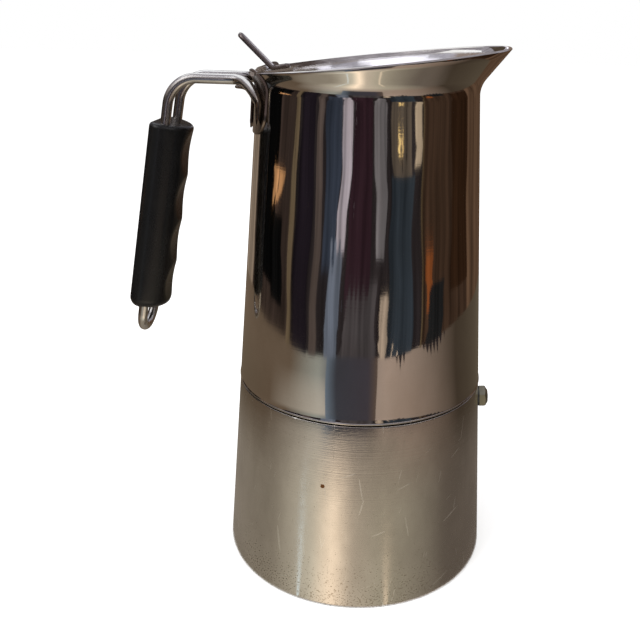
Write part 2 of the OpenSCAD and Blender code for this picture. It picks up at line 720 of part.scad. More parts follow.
module lid_lever() {
    heel_x = hinge_x + knuckle_r + 2.2;
    heel_z = lid_top_z(heel_x) + leaf_t + 3 * weld_gap;
    turn = 90 - lever_lean;
    face = concat([[heel_x + lever_foot_l, lid_top_z(heel_x + lever_foot_l) + leaf_t + 3 * weld_gap]],
        arc(heel_x, heel_z + lever_bend_r, lever_bend_r, 270, 270 - turn, 6));
    end = face[len(face) - 1];
    color("silver") union() {
        translate([0, lever_w / 2, 0]) rotate([90, 0, 0]) linear_extrude(lever_w) polygon(sheet(face, -lever_t, 0));
        translate([end[0], 0, end[1]]) rotate([0, -lever_lean, 0]) rotate([90, 0, 90]) linear_extrude(lever_t) union() {
            translate([-lever_w / 2, 0]) square([lever_w, lever_l - lever_w / 2]);
            translate([0, lever_l - lever_w / 2]) circle(r = lever_w / 2);
        }
    }
}

boiler_shell();
base_disc();
boiler_neck();
valve_body();
valve_washer();
valve_nut();
valve_cap();
valve_spring();
valve_plunger();
funnel_cup();
funnel_tube();
funnel_sieve();
gasket();
filter_plate();
collector_shell();
collector_floor();
thread_ring();
column();
column_cap();
hinge_plate();
handle_strap();
handle_wire();
handle_grip();
hinge_pin();
lid();
lid_leaf();
lid_lever();
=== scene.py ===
import math

import bpy
from mathutils import Matrix, Vector


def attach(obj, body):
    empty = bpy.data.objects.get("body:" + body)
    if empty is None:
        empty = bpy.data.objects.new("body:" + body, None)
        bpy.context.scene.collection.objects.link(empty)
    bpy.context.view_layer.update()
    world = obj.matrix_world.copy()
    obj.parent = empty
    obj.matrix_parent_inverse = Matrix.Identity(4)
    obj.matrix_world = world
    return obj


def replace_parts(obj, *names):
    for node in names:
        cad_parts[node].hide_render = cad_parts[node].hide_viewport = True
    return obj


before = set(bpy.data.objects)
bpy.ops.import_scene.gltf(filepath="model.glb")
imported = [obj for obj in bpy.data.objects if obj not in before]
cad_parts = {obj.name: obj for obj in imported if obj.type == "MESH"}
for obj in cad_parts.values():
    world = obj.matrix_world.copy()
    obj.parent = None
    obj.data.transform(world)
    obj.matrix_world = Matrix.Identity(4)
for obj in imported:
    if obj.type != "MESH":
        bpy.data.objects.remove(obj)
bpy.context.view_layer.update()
scene = bpy.context.scene
scene.view_settings.view_transform = "Standard"
mm = 0.001


# ---- camera ----------------------------------------------------------------
# The pot is seen from a little above its rim, with the pouring side to the
# right and the handle to the left.
eye = Vector((0.01569, -0.29943, 0.21696))
heading = Vector((-0.0723, 0.9974, 0)).normalized()
pitch = 0.354
roll = 0.024
forward = heading * math.cos(pitch) - Vector((0, 0, math.sin(pitch)))
sideways = forward.cross(Vector((0, 0, 1))).normalized()
right = sideways * math.cos(roll) + sideways.cross(forward) * math.sin(roll)
camera = bpy.data.objects.new("camera", bpy.data.cameras.new("camera"))
camera.data.sensor_width = 36
camera.data.lens = 44.0
camera.data.shift_x = -0.0419
camera.data.shift_y = -0.0252
camera.data.clip_start = 0.01
turned = Matrix((right, right.cross(forward), -forward)).transposed()
camera.matrix_world = Matrix.Translation(eye) @ turned.to_4x4()
scene.collection.objects.link(camera)
scene.camera = camera


# ---- base disc -------------------------------------------------------------
# A turned aluminium disc bonded under the boiler's floor to spread the heat.
# Its face shows the rings that the lathe left.
def wire_nodes(tree, *pairs):
    for source, target in pairs:
        tree.links.new(source, target)


def new_group(name, inputs, outputs):
    """A shader node group with number inputs and the outputs that it is asked for."""
    group = bpy.data.node_groups.new(name, "ShaderNodeTree")
    for label, value in inputs.items():
        socket = group.interface.new_socket(name=label, in_out="INPUT", socket_type="NodeSocketFloat")
        socket.default_value = value
    for label in outputs:
        group.interface.new_socket(name=label, in_out="OUTPUT", socket_type="NodeSocketFloat")
    return group, group.nodes.new("NodeGroupInput"), group.nodes.new("NodeGroupOutput")


def math_node(tree, operation, *values):
    node = tree.nodes.new("ShaderNodeMath")
    node.operation = operation
    for socket, value in zip(node.inputs, values):
        if isinstance(value, (int, float)):
            socket.default_value = value
        else:
            tree.links.new(value, socket)
    return node.outputs[0]


def highest(tree, *values):
    """The highest of some values."""
    top = values[0]
    for value in values[1:]:
        top = math_node(tree, "MAXIMUM", top, value)
    return top


def own_place(tree):
    """Places in the part's own space, in metres."""
    return tree.nodes.new("ShaderNodeTexCoord").outputs["Object"]


def own_axes(tree):
    """The X, Y and Z of those places, each by itself."""
    split = tree.nodes.new("ShaderNodeSeparateXYZ")
    tree.links.new(own_place(tree), split.inputs[0])
    return split.outputs


def noise_along(tree, stretch, detail=2.0, roughness=0.5):
    """Noise in the part's own space, squeezed by a scale along X, Y and Z."""
    scale = tree.nodes.new("ShaderNodeMapping")
    scale.inputs["Scale"].default_value = stretch
    noise = tree.nodes.new("ShaderNodeTexNoise")
    noise.inputs["Scale"].default_value = 1.0
    noise.inputs["Detail"].default_value = detail
    noise.inputs["Roughness"].default_value = roughness
    wire_nodes(tree, (own_place(tree), scale.inputs["Vector"]), (scale.outputs[0], noise.inputs["Vector"]))
    return noise.outputs["Fac"]


def ranged(tree, value, start, end, low=0.0, high=1.0):
    """A value moved from the range of start and end to that of low and high, and held at both ends."""
    node = tree.nodes.new("ShaderNodeMapRange")
    for label, number in (("From Min", start), ("From Max", end), ("To Min", low), ("To Max", high)):
        node.inputs[label].default_value = number
    tree.links.new(value, node.inputs["Value"])
    return node.outputs[0]


def mixed(tree, mask, under, over):
    """A colour that turns from under, a colour or a node's output, to over where a mask is high."""
    node = tree.nodes.new("ShaderNodeMix")
    node.data_type = "RGBA"
    node.inputs["B"].default_value = (*over, 1)
    if isinstance(under, tuple):
        node.inputs["A"].default_value = (*under, 1)
    else:
        tree.links.new(under, node.inputs["A"])
    tree.links.new(mask, node.inputs["Factor"])
    return node.outputs["Result"]


def bumped(tree, height, depth):
    """A bump of a depth in metres, whose own Normal socket is free for another one under it."""
    node = tree.nodes.new("ShaderNodeBump")
    node.name = "bump"
    node.inputs["Strength"].default_value = 1.0
    node.inputs["Distance"].default_value = depth
    tree.links.new(height, node.inputs["Height"])
    return node


def build_turned_grain():
    """Fine rings round the pot's axis, as rolling and polishing leave them, and rare long scuffs."""
    group, inside, out = new_group("turned_grain", {"Rings": 1.0, "Scuffs": 1.0}, ("Height", "Scuff"))
    rings = noise_along(group, (14, 14, 2600), 3.0, 0.6)
    fine = noise_along(group, (420, 420, 5200), 2.0)
    long = noise_along(group, (950, 950, 9), 2.0)
    sloped = noise_along(group, (500, 260, 60), 1.0)
    scuff = highest(group, math_node(group, "GREATER_THAN", long, 0.74),
                    math_node(group, "GREATER_THAN", sloped, 0.79))
    grain = math_node(group, "MULTIPLY_ADD", fine, 0.5, rings)
    height = math_node(group, "SUBTRACT", math_node(group, "MULTIPLY", grain, inside.outputs["Rings"]),
                       math_node(group, "MULTIPLY", scuff, inside.outputs["Scuffs"]))
    wire_nodes(group, (height, out.inputs["Height"]), (scuff, out.inputs["Scuff"]))
    return group


def build_stains():
    """Cloudy marks and small specks left by water, coffee and wiping."""
    group, inside, out = new_group("stains", {"Specks": 1.0}, ("Cloud", "Speck"))
    cloud = noise_along(group, (22, 22, 16), 6.0, 0.62)
    wiped = noise_along(group, (60, 60, 18), 5.0, 0.7)
    clouds = math_node(group, "MULTIPLY", cloud, math_node(group, "ADD", wiped, 0.5))
    speck = math_node(group, "GREATER_THAN", noise_along(group, (330, 330, 330), 2.0), 0.78)
    specks = math_node(group, "MULTIPLY", speck, inside.outputs["Specks"])
    wire_nodes(group, (clouds, out.inputs["Cloud"]), (specks, out.inputs["Speck"]))
    return group


turned_grain = build_turned_grain()
stains = build_stains()


def grouped(tree, group, **values):
    node = tree.nodes.new("ShaderNodeGroup")
    node.node_tree = group
    for label, value in values.items():
        node.inputs[label].default_value = value
    return node


def new_finish(name):
    finish = bpy.data.materials.new(name)
    finish.use_nodes = True
    return finish, finish.node_tree


def metal(name, clean, dull, smooth, rough, rings=1.0, scuffs=1.0, depth=0.00002, specks=1.0):
    """Bare metal that goes from a clean colour and polish to a dull one where it is stained."""
    finish, tree = new_finish(name)
    shader = tree.nodes["Principled BSDF"]
    shader.inputs["Metallic"].default_value = 1.0
    grain = grouped(tree, turned_grain, Rings=rings, Scuffs=scuffs)
    marks = grouped(tree, stains, Specks=specks)
    dulled = ranged(tree, marks.outputs["Cloud"], 0.35, 0.65)
    stained = highest(tree, dulled, marks.outputs["Speck"])
    worn = math_node(tree, "MULTIPLY_ADD", grain.outputs["Scuff"], 0.6, dulled)
    bump = bumped(tree, grain.outputs["Height"], depth)
    wire_nodes(tree, (mixed(tree, stained, clean, dull), shader.inputs["Base Color"]),
               (ranged(tree, worn, 0.0, 1.0, smooth, rough), shader.inputs["Roughness"]),
               (bump.outputs[0], shader.inputs["Normal"]))
    return finish


def dress(node, finish):
    """Gives a CAD node its finish."""
    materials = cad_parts[node].data.materials
    materials.clear()
    materials.append(finish)


dress("base_disc", metal("turned_aluminium", (0.60, 0.60, 0.59), (0.42, 0.41, 0.39), 0.28, 0.45))


# ---- boiler wall -----------------------------------------------------------
# Deep-drawn steel, its foot edge rounded over and its shoulder bent in to the
# neck. Years on the stove have left stains, scratches and a spot of rust on it.
def arc(x, y, r, a0, a1, n=8):
    """Points of an arc round (x, y) from angle a0 to a1, in degrees."""
    turns = [math.radians(a0 + (a1 - a0) * i / n) for i in range(n + 1)]
    return [(x + r * math.cos(a), y + r * math.sin(a)) for a in turns]


def build_mesh(name, points, faces, body, finish):
    """One smooth piece from points in millimetres, riding on a body."""
    mesh = bpy.data.meshes.new(name)
    mesh.from_pydata([[c * mm for c in p] for p in points], [], faces)
    mesh.shade_smooth()
    piece = bpy.data.objects.new(name, mesh)
    scene.collection.objects.link(piece)
    mesh.materials.append(finish)
    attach(piece, body)
    return piece


def ring_faces(rings, sides, round_up=False):
    """Quads between rings of points, and between the last ring and the first if round_up."""
    spans = rings if round_up else rings - 1
    return [(i % rings * sides + j, i % rings * sides + (j + 1) % sides,
             (i + 1) % rings * sides + (j + 1) % sides, (i + 1) % rings * sides + j)
            for i in range(spans) for j in range(sides)]


def revolve(name, outline, body, finish, steps=256):
    """A piece turned about the pot's axis. outline(angle) is the closed outline of its wall there."""
    points = []
    for i in range(steps):
        a = 2 * math.pi * i / steps
        points += [(r * math.cos(a), r * math.sin(a), z) for r, z in outline(a)]
    return build_mesh(name, points, ring_faces(steps, len(outline(0)), True), body, finish)


base_r = 55
shoulder_r = 49.5
shoulder_z = 76.8
shoulder_bend = 0.4
wall = 1.0
neck_r = 38
neck_gap = 0.1
foot_z = 0.3
inner_floor = 4.1
boiler_taper = math.degrees(math.atan((base_r - shoulder_r) / shoulder_z))


def boiler_r(z):
    return base_r - z * math.tan(math.radians(boiler_taper))


def boiler_outline(angle):
    mouth_r = neck_r + neck_gap
    bend_z = shoulder_z - shoulder_bend
    bend_r = boiler_r(bend_z) - shoulder_bend
    edge = wall / 2
    side = [(boiler_r(z), z) for z in (2, 8, 20, 40, 60, 72)]
    return (arc(boiler_r(foot_z) - edge, foot_z + edge, edge, -180, 0, 8) + side
            + arc(bend_r, bend_z, shoulder_bend, boiler_taper, 90, 8)
            + [(neck_r + 4, shoulder_z), (mouth_r, shoulder_z), (mouth_r, shoulder_z - wall)]
            + [(boiler_r(z) - wall, z) for z in (shoulder_z - wall, 40, inner_floor)]
            + [(1, inner_floor), (1, inner_floor - wall),
               (boiler_r(inner_floor - wall) - wall, inner_floor - wall)])


def line_marks(tree, lean, stretch, rare):
    """A mask of thin scratches on a round wall, leaning by the given degrees from upright."""
    wall_r = 0.05
    axes = own_axes(tree)
    bearing = math_node(tree, "ARCTAN2", axes["Y"], axes["X"])
    unrolled = tree.nodes.new("ShaderNodeCombineXYZ")
    along = tree.nodes.new("ShaderNodeMapping")
    along.vector_type = "TEXTURE"
    along.inputs["Rotation"].default_value = (0, math.radians(lean), 0)
    along.inputs["Scale"].default_value = (1 / stretch[0], 1, 1 / stretch[1])
    noise = tree.nodes.new("ShaderNodeTexNoise")
    noise.inputs["Scale"].default_value = 1.0
    noise.inputs["Detail"].default_value = 0.0
    wire_nodes(tree, (math_node(tree, "MULTIPLY", bearing, wall_r), unrolled.inputs["X"]),
               (axes["Z"], unrolled.inputs["Z"]), (unrolled.outputs[0], along.inputs["Vector"]),
               (along.outputs[0], noise.inputs["Vector"]))
    return math_node(tree, "GREATER_THAN", noise.outputs["Fac"], rare)


def build_knocks():
    """Light scratches in three directions, and the specks that gather towards a foot at z = 0."""
    group, inside, out = new_group("knocks", {"Foot": 0.03}, ("Scratch", "Grit"))
    marks = [line_marks(group, -9, (900, 38), 0.80), line_marks(group, 14, (1100, 60), 0.81),
             line_marks(group, 68, (1000, 70), 0.82)]
    height = math_node(group, "DIVIDE", own_axes(group)["Z"], inside.outputs["Foot"])
    near_foot = math_node(group, "SUBTRACT", 1.0, height)
    grain = noise_along(group, (1500, 1500, 1700), 2.0, 0.5)
    gathered = math_node(group, "MULTIPLY_ADD", highest(group, near_foot, 0.0), 0.17, grain)
    grit = math_node(group, "GREATER_THAN", gathered, 0.73)
    wire_nodes(group, (highest(group, *marks), out.inputs["Scratch"]), (grit, out.inputs["Grit"]))
    return group


def toned(finish, mask, tone, film=0.0):
    """Mixes one more tone into a metal where a mask is high, and dulls it there as a film of dirt does."""
    tree = finish.node_tree
    shader = tree.nodes["Principled BSDF"]
    colour, metallic = shader.inputs["Base Color"], shader.inputs["Metallic"]
    tree.links.new(mixed(tree, mask, colour.links[0].from_socket, tone), colour)
    if film:
        bare = metallic.links[0].from_socket if metallic.links else 1.0
        covered = math_node(tree, "MULTIPLY", math_node(tree, "MULTIPLY", mask, film), bare)
        tree.links.new(math_node(tree, "SUBTRACT", bare, covered), metallic)


def ragged_distance(tree, centre, stretch, detail, waver):
    """The distance in metres from one place, made ragged by noise."""
    away = tree.nodes.new("ShaderNodeVectorMath")
    away.operation = "DISTANCE"
    away.inputs[1].default_value = centre
    tree.links.new(own_place(tree), away.inputs[0])
    noise = noise_along(tree, (stretch, stretch, stretch), detail)
    return math_node(tree, "MULTIPLY_ADD", noise, waver, away.outputs["Value"])


rust_spot = (-0.0099, -0.0506, 0.0517)
rust_reach = 0.0012
scratch_tone = (0.71, 0.69, 0.65)
grit_tone = (0.40, 0.36, 0.31)
rust_tone = (0.17, 0.08, 0.035)


def knocked(finish):
    """Adds scratches, foot grit and one small spot of rust to a metal."""
    tree = finish.node_tree
    roughness = tree.nodes["Principled BSDF"].inputs["Roughness"]
    gloss = roughness.links[0].from_socket
    marks = grouped(tree, build_knocks())
    scratch, grit = marks.outputs["Scratch"], marks.outputs["Grit"]
    rust = math_node(tree, "LESS_THAN", ragged_distance(tree, rust_spot, 1500, 2.0, 0.0006), rust_reach)
    for mask, tone in ((scratch, scratch_tone), (grit, grit_tone), (rust, rust_tone)):
        toned(finish, mask, tone)
    rougher = highest(tree, scratch, grit, rust)
    tree.links.new(math_node(tree, "MULTIPLY_ADD", rougher, 0.2, gloss), roughness)


satin_steel = metal("satin_steel", (0.63, 0.605, 0.57), (0.50, 0.475, 0.44), 0.11, 0.26, depth=0.00003)
knocked(satin_steel)
plain_steel = metal("plain_steel", (0.58, 0.57, 0.54), (0.46, 0.44, 0.40), 0.22, 0.34)
boiler_wall = revolve("boiler_wall", boiler_outline, "boiler", satin_steel)
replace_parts(boiler_wall, "boiler_shell")
dress("boiler_neck", plain_steel)


# ---- safety valve ----------------------------------------------------------
# A hexagon of nickel-plated brass, screwed through the boiler's wall on a dark
# fibre washer and held by a nut inside. A spring keeps its plunger shut.
old_brass = metal("old_nickel_brass", (0.47, 0.46, 0.36), (0.30, 0.29, 0.21), 0.3, 0.5)
for piece in ("valve_body", "valve_nut", "valve_cap", "valve_plunger"):
    dress(piece, old_brass)
dress("valve_spring", plain_steel)
dark_fibre = metal("dark_fibre", (0.05, 0.05, 0.045), (0.03, 0.03, 0.03), 0.6, 0.8)
dark_fibre.node_tree.nodes["Principled BSDF"].inputs["Metallic"].default_value = 0.0
dress("valve_washer", dark_fibre)


# ---- funnel and filter plate -----------------------------------------------
# The cup, its tube and the sieve are pressed steel, joined by rolling. The upper
# plate lies in the gasket. All have a plain satin face that coffee has dulled.
for piece in ("funnel_cup", "funnel_tube", "funnel_sieve", "filter_plate"):
    dress(piece, plain_steel)


# ---- gasket ----------------------------------------------------------------
# A moulded ring of pale silicone rubber, pressed into the jug's skirt and marked
# where the boiler's neck bites.
rubber = metal("rubber", (0.70, 0.66, 0.56), (0.55, 0.48, 0.37), 0.5, 0.65, rings=0.3)
rubber.node_tree.nodes["Principled BSDF"].inputs["Metallic"].default_value = 0.0
dress("gasket", rubber)


# ---- jug wall --------------------------------------------------------------
# One drawn sheet of mirror-polished steel: a bead at the seam, a long cone and
# a flare cut by the tilted rim, whose edge is rounded over.
def build_sheet_waves():
    """Slow hollows that pull a mirror's straight reflections slightly out of true."""
    group, inside, out = new_group("sheet_waves", {"Hairlines": 1.0}, ("Height",))
    slow = noise_along(group, (26, 26, 20), 1.0)
    ripple = noise_along(group, (85, 85, 9), 1.0)
    hairline = noise_along(group, (30, 30, 1800), 2.0)
    hollows = math_node(group, "MULTIPLY_ADD", ripple, 0.08, slow)
    height = math_node(group, "MULTIPLY_ADD", hairline, inside.outputs["Hairlines"], hollows)
    wire_nodes(group, (height, out.inputs["Height"]))
    return group


sheet_waves = build_sheet_waves()


def mirror(name, clean, dull, smooth, rough, wave):
    """Polished metal whose reflections waver by the given depth in metres."""
    finish = metal(name, clean, dull, smooth, rough, rings=0.1, scuffs=0.4, depth=0.000004, specks=0.6)
    tree = finish.node_tree
    fine = tree.nodes["bump"]
    waver = bumped(tree, grouped(tree, sheet_waves, Hairlines=0.002).outputs[0], wave)
    tree.links.new(waver.outputs[0], fine.inputs["Normal"])
    return finish


seam_z = 77.5
seam_r = 49.5
bead_proud = 0.2
bead_r = 0.35
cone_heights = (78.35, *range(81, 190, 9))
jug_neck_r = 41.2
flare_z = 190.3
flare_bend = 9
flare_angle = 38
rim_mid_z = 201.8
rim_slope = math.tan(math.radians(6.4))
jug_taper = math.degrees(math.atan((seam_r - jug_neck_r) / (flare_z - seam_z)))
flare_slope = math.tan(math.radians(flare_angle))


def jug_r(z):
    return seam_r - (z - seam_z) * math.tan(math.radians(jug_taper))


def jug_face(angle, inset=0.0):
    """The jug's outer face from above the bead to the rim, moved inwards by inset."""
    c = math.radians(jug_taper)
    f = math.radians(flare_angle)
    cone = [(jug_r(z) - inset * math.cos(c), z - inset * math.sin(c)) for z in cone_heights]
    bend_r, bend_z = jug_neck_r + flare_bend * math.cos(c), flare_z + flare_bend * math.sin(c)
    bend = arc(bend_r, bend_z, flare_bend + inset, 180 + jug_taper, 180 - flare_angle, 16)
    r, z = bend[-1]
    lean = rim_slope * math.cos(angle)
    drop = (wall / 2) / math.cos(f)
    top_r = (r + (rim_mid_z - drop - z) * flare_slope) / (1 - lean * flare_slope)
    top_z = z + (top_r - r) / flare_slope
    flare = [(r + (top_r - r) * t / 4, z + (top_z - z) * t / 4) for t in range(1, 5)]
    return cone + bend[1:] + flare


def jug_outline(angle):
    outer = jug_face(angle)
    inner = jug_face(angle, wall)
    (r0, z0), (r1, z1) = outer[-1], inner[-1]
    middle = ((r0 + r1) / 2, (z0 + z1) / 2)
    start = math.degrees(math.atan2(z0 - middle[1], r0 - middle[0]))
    lip = arc(*middle, math.hypot(r0 - middle[0], z0 - middle[1]), start, start + 180, 8)
    bead = arc(seam_r + bead_proud - bead_r, seam_z + bead_r, bead_r, -90, 65, 12)
    return bead + outer[:-1] + lip + inner[-2::-1] + [(seam_r - wall, seam_z)]


def close_to(finish, centre, full, reach):
    """A mask that is whole near one place in metres and wavers away to nothing at a reach."""
    tree = finish.node_tree
    return ranged(tree, ragged_distance(tree, centre, 300, 4.0, 0.008), reach, full)


mirror_steel = mirror("mirror_steel", (0.73, 0.71, 0.68), (0.64, 0.61, 0.57), 0.04, 0.08, 0.0013)
# The jug's wall and rim near the hinge are darkened brown with painted shade.
painted_hinge_shade = close_to(mirror_steel, (-0.036, 0.026, 0.199), 0.018, 0.032)
toned(mirror_steel, painted_hinge_shade, (0.17, 0.135, 0.11))
jug_wall = revolve("jug_wall", jug_outline, "collector", mirror_steel, 320)
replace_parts(jug_wall, "collector_shell")


# ---- inside the jug --------------------------------------------------------
# The floor with its threaded skirt, and the coffee column under its cap. They
# are pressed and turned from steel and welded to the jug's wall.
for piece in ("collector_floor", "thread_ring", "column", "column_cap"):
    dress(piece, plain_steel)


# ---- threads ---------------------------------------------------------------
# Two turns of rolled thread stand out from the neck, and the skirt's own turns
# reach in between them.
thread_depth = 0.45
thread_pitch = 2.5
thread_turns = 2
thread_z = 80.5
skirt_gap = 1.0
rooted = 0.02


def build_thread(name, r, crest, z0, body):
    """A helical ridge on a wall of radius r, whose crest lies at radius r + crest."""
    steps = 72
    count = thread_turns * steps
    run_out = steps / 4
    half = thread_pitch * 0.28
    points = []
    for i in range(count + 1):
        a = 2 * math.pi * i / steps
        z = z0 + thread_pitch * i / steps
        top = crest * min(1, i / run_out, (count - i) / run_out)
        ridge = ((0, -half), (top * 0.75, -half * 0.45), (top, 0), (top * 0.75, half * 0.45), (0, half))
        for dr, dz in ridge:
            points.append(((r + dr) * math.cos(a), (r + dr) * math.sin(a), z + dz))
    faces = [(i * 5 + j, (i + 1) * 5 + j, (i + 1) * 5 + j + 1, i * 5 + j + 1)
             for i in range(count) for j in range(4)]
    return build_mesh(name, points, faces, body, plain_steel)


build_thread("neck_thread", neck_r - rooted, thread_depth, thread_z, "boiler")
build_thread("skirt_thread", neck_r + skirt_gap + rooted, -thread_depth, thread_z + thread_pitch / 2,
             "collector")


# ---- hinge -----------------------------------------------------------------
# A plate is spot-welded to the jug, and the pin runs through its two ears and
# the lid's knuckle. Its dark brown colour is painted shade.
plate_t = 0.7
# Dark brown steel whose colour is painted shade, for the plate and the strap.
painted_shade_steel = mirror("painted_shade_steel", (0.34, 0.28, 0.235), (0.15, 0.115, 0.09), 0.12, 0.28, 0.0003)
dress("hinge_plate", painted_shade_steel)


# ---- handle strap ----------------------------------------------------------
# A strip of steel welded over the plate. It bends outwards at its top to carry
# the handle wire, and its cut edges are dressed round.
def soft_box(a, b, sides, soft=0.4):
    """Points round a flat section of half widths a and b with soft corners."""
    turns = [2 * math.pi * j / sides for j in range(sides)]
    return [(math.copysign(a * abs(math.cos(q)) ** soft, math.cos(q)),
             math.copysign(b * abs(math.sin(q)) ** soft, math.sin(q))) for q in turns]


strap_half_w = 7.5
strap_half_t = 0.6
strap_low_z = 176.8
strap_bend_z = 186.7
strap_bend_r = 5
strap_lip = 2.3


def bar_faces(rings, sides):
    """Faces round a bar of rings of points, and flat ones over its two ends."""
    return ring_faces(rings, sides) + [tuple(range(sides - 1, -1, -1)),
                                       tuple((rings - 1) * sides + j for j in range(sides))]


def build_strap():
    sides = 24
    inner_r = jug_r(strap_bend_z) + plate_t
    line = [(jug_r(z) + plate_t + strap_half_t, z) for z in (strap_low_z, 179, 182, 185)]
    line += arc(inner_r + strap_bend_r, strap_bend_z, strap_bend_r - strap_half_t, 180 + jug_taper, 96, 14)
    line += [(line[-1][0] + d, line[-1][1] + d * 0.1) for d in (0.8, 1.6, strap_lip)]
    points = []
    for i, (r, z) in enumerate(line):
        (r0, z0), (r1, z1) = line[max(i - 1, 0)], line[min(i + 1, len(line) - 1)]
        run = math.hypot(r1 - r0, z1 - z0)
        end = min(i, len(line) - 1 - i) == 0
        for across, thick in soft_box(strap_half_w - 0.4 * end, strap_half_t - 0.25 * end, sides):
            spot = r + thick * (z1 - z0) / run
            turn = math.asin(across / inner_r)
            points.append((-spot * math.cos(turn), spot * math.sin(turn), z - thick * (r1 - r0) / run))
    faces = bar_faces(len(line), sides)
    # The strap takes the plate's dark brown painted shade.
    return build_mesh("strap", points, faces, "collector", painted_shade_steel)


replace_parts(build_strap(), "handle_strap")


# ---- handle wire -----------------------------------------------------------
# One length of bright drawn wire, bent into a loop through the grip. Its two
# ends spread over the hinge plate and are hammered flat for the weld.
def mix(a, b, t):
    return a + (b - a) * t


def sweep(name, path, section, body, finish, sides=28, soft=1.0):
    """A closed bar along a path. section(i) gives its flat direction and its two half widths."""
    points = []
    for i, p in enumerate(path):
        t = (path[min(i + 1, len(path) - 1)] - path[max(i - 1, 0)]).normalized()
        flat, a, b = section(i)
        u = (flat - t * flat.dot(t)).normalized()
        v = t.cross(u)
        points += [p + u * x + v * y for x, y in soft_box(a, b, sides, soft)]
    return build_mesh(name, points, bar_faces(len(path), sides), body, finish)


wire_r = 1.9
leg_y = 8
wire_z = 194
wire_reach = 74
wire_bend = 11.5
lean = math.radians(10.2)
wire_low_z = 90.7
tail_angle = math.radians(29)
tail_t = 1.3
tail_w = 3.8
tail_top_z = 187.5
tail_low_z = 179.5
tail_end_x = -49
lap_points = 12
curve_points = 25
bridge_points = 3
bend_points = 21
leg_points = 6
tail_points = lap_points + curve_points
leg_start = tail_points + bridge_points + bend_points - 1
flat_points = 10
flat_run = 14
turn_run = 24
bend_x = wire_bend - wire_reach
leg_dir = Vector((-math.sin(lean), 0, -math.cos(lean)))


def wire_half(side):
    """One half of the wire, from its welded end to the lowest point of the loop."""
    out = Vector((-math.cos(tail_angle), side * math.sin(tail_angle), 0))
    off = plate_t + tail_t / 2
    start = Vector((tail_end_x, side * leg_y, wire_z))
    top = out * (jug_r(tail_top_z) + off + 0.5) + Vector((0, 0, tail_top_z))
    low = out * (jug_r(tail_low_z) + off) + Vector((0, 0, tail_low_z))
    c1 = start + Vector((5.5, side * 0.5, 0.2))
    c2 = top + Vector((-2.5, -side * 3.5, 4))
    tail = [low.lerp(top, i / lap_points) for i in range(lap_points)]
    for i in range(curve_points):
        t = 1 - i / (curve_points - 1)
        u = 1 - t
        tail.append(start * u ** 3 + c1 * (3 * t * u ** 2) + c2 * (3 * t * t * u) + top * t ** 3)
    centre = Vector((bend_x, side * leg_y, wire_z - wire_bend))
    bend = []
    for i in range(bend_points):
        a = math.pi / 2 + (math.pi / 2 - lean) * i / (bend_points - 1)
        bend.append(centre + Vector((math.cos(a), 0, math.sin(a))) * wire_bend)
    bridge = [tail[-1].lerp(bend[0], i / (bridge_points + 1)) for i in range(1, bridge_points + 1)]
    leg_l = (bend[-1].z - wire_low_z - wire_r - leg_y * math.cos(lean)) / math.cos(lean)
    leg = [bend[-1] + leg_dir * (leg_l * i / leg_points) for i in range(1, leg_points + 1)]
    loop = []
    for i in range(1, 13):
        a = math.pi / 2 * i / 12
        inwards = Vector((0, -side * leg_y * (1 - math.cos(a)), 0))
        loop.append(leg[-1] + leg_dir * (leg_y * math.sin(a)) + inwards)
    return tail + bridge + bend + leg + loop


def wire_section(i):
    """Half widths of the wire at point i of its path, and the direction of the first of them."""
    from_end = min(i, len(wire_path) - 1 - i)
    side = -1 if i < len(wire_path) / 2 else 1
    out = Vector((-math.cos(tail_angle), side * math.sin(tail_angle), 0))
    across = Vector((0, side, 0))
    loop_face = leg_dir.cross(Vector((0, 1, 0)))
    if from_end < tail_points:
        s = min(1, (tail_points - from_end) / turn_run)
        f = min(1, max(0, 1 - (from_end - flat_points) / flat_run))
        tip = 0.55 + 0.45 * min(1, from_end / 3)
        return across.lerp(out, s), mix(wire_r, tail_t / 2, f) * tip, mix(wire_r, tail_w / 2, f) * tip
    s = min(1, max(0, (from_end - leg_start) / leg_points))
    return across.lerp(loop_face, s), wire_r, wire_r


wire_path = wire_half(-1) + wire_half(1)[-2::-1]


def painted_shade_along_x(finish, span, tone):
    """Mixes a brown painted shade into a metal's colour along X, between two places in metres."""
    tree = finish.node_tree
    noise = noise_along(tree, (240, 240, 240), 4.0)
    waver = math_node(tree, "MULTIPLY_ADD", noise, 0.006, own_axes(tree)["X"])
    toned(finish, ranged(tree, waver, *span), tone)


bright_wire = metal("bright_wire", (0.74, 0.73, 0.71), (0.52, 0.50, 0.48), 0.12, 0.24, rings=0.3,
                    depth=0.00001)
# The flattened ends against the plate are darkened brown with painted shade.
painted_shade_along_x(bright_wire, (-0.0375, -0.0345), (0.26, 0.22, 0.19))
handle_loop = sweep("handle_loop", wire_path, wire_section, "collector", bright_wire)
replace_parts(handle_loop, "handle_wire")


# ---- grip ------------------------------------------------------------------
# Glossy black plastic, pressed over the wire: flat behind, round in front, and
# scooped for four fingers. The mould left soft edges and a faint grain.
def build_moulded():
    """The slow unevenness and the fine grain of a moulded face, and its wiping marks."""
    group, inside, out = new_group("moulded", {"Grain": 1.0}, ("Height", "Wear"))
    slow = noise_along(group, (120, 120, 60), 2.0)
    grain = noise_along(group, (2400, 2400, 2400), 2.0)
    wear = noise_along(group, (70, 70, 40), 6.0, 0.7)
    height = math_node(group, "MULTIPLY_ADD", grain, inside.outputs["Grain"], slow)
    wire_nodes(group, (height, out.inputs["Height"]), (wear, out.inputs["Wear"]))
    return group


